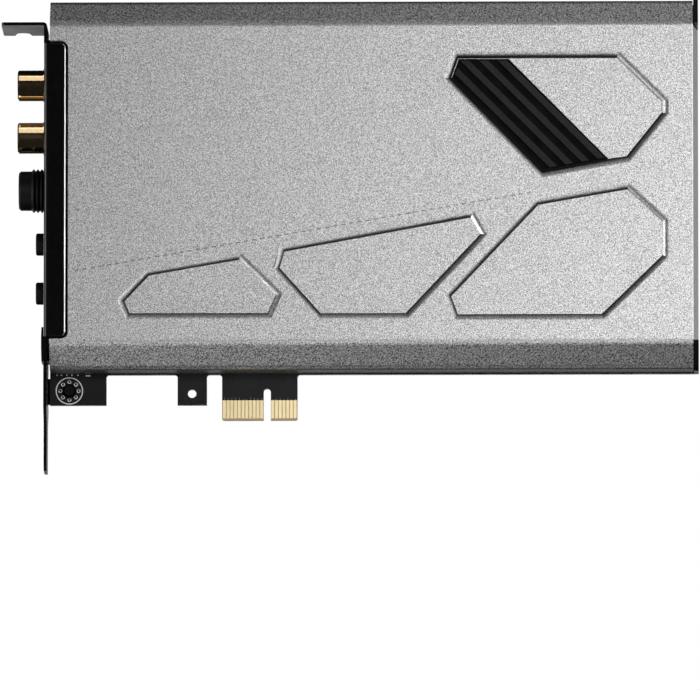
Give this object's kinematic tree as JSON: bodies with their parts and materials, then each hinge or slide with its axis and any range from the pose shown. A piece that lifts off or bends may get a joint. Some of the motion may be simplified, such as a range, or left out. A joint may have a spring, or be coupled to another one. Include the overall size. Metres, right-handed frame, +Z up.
{
  "type": "sound card",
  "caption": "Expansion card for sound with a slot bracket of audio sockets, a contact tongue and a pressed silver cover with sunken pockets and a ribbed black window.",
  "frame": {"origin": "middle of the key slot on the bottom edge of the contact tongue, halfway through the board", "axes": "+X along the card away from the slot bracket, +Y from the component side to the solder side, +Z up the card"},
  "size_m": [0.1872, 0.0192, 0.1277],
  "materials": {
    "board": "solder mask, satin",
    "gold": "gold plated",
    "bracket": "semi-gloss black paint",
    "shroud": "fine sand-blasted",
    "black_plastic": "satin",
    "window": "ribbed, satin",
    "light_board": "white solder mask",
    "diode": "clear lens",
    "insulator": "satin",
    "sleeve": "plated",
    "emitter": "tinted lens",
    "steel": "black plated screws",
    "standoff": "nickel free bar",
    "chip": "moulded package",
    "crystal": "metal can",
    "inductor": "pressed ferrite",
    "relay": "moulded case",
    "film": "moulded box",
    "can": "sleeved can"
  },
  "bodies": {
    "root": {"circuit_board": "board", "edge_contacts_front": "gold", "edge_contacts_back": "gold", "bracket": "bracket", "shroud": "shroud", "end_cap": "black_plastic", "light_window": "window", "light_board": "light_board", "light_diodes": "diode", "phono_block": "black_plastic", "phono_shell_upper": "gold", "phono_shell_lower": "gold", "phono_insulator_upper": "insulator", "phono_insulator_lower": "insulator", "phono_contact_upper": "gold", "phono_contact_lower": "gold", "headphone_jack": "black_plastic", "headphone_sleeve": "sleeve", "headphone_contacts": "sleeve", "optical_port": "black_plastic", "optical_emitter": "emitter", "shroud_standoffs": "standoff", "shroud_screws": "steel", "bracket_screws": "steel", "clock_oscillators": "crystal", "power_inductors": "inductor", "voltage_regulators": "chip", "output_relays": "relay", "film_capacitors": "film", "electrolytic_capacitors": "can", "op_amp_sockets": "black_plastic", "op_amps": "chip", "line_jack": "black_plastic", "line_sleeve": "sleeve", "line_contacts": "sleeve", "mic_jack": "black_plastic", "mic_sleeve": "sleeve", "mic_contacts": "sleeve", "audio_processor": "chip", "bus_bridge_chip": "chip", "playback_converter": "chip", "record_converter": "chip", "headphone_amplifier": "chip"}
  },
  "joints": []
}
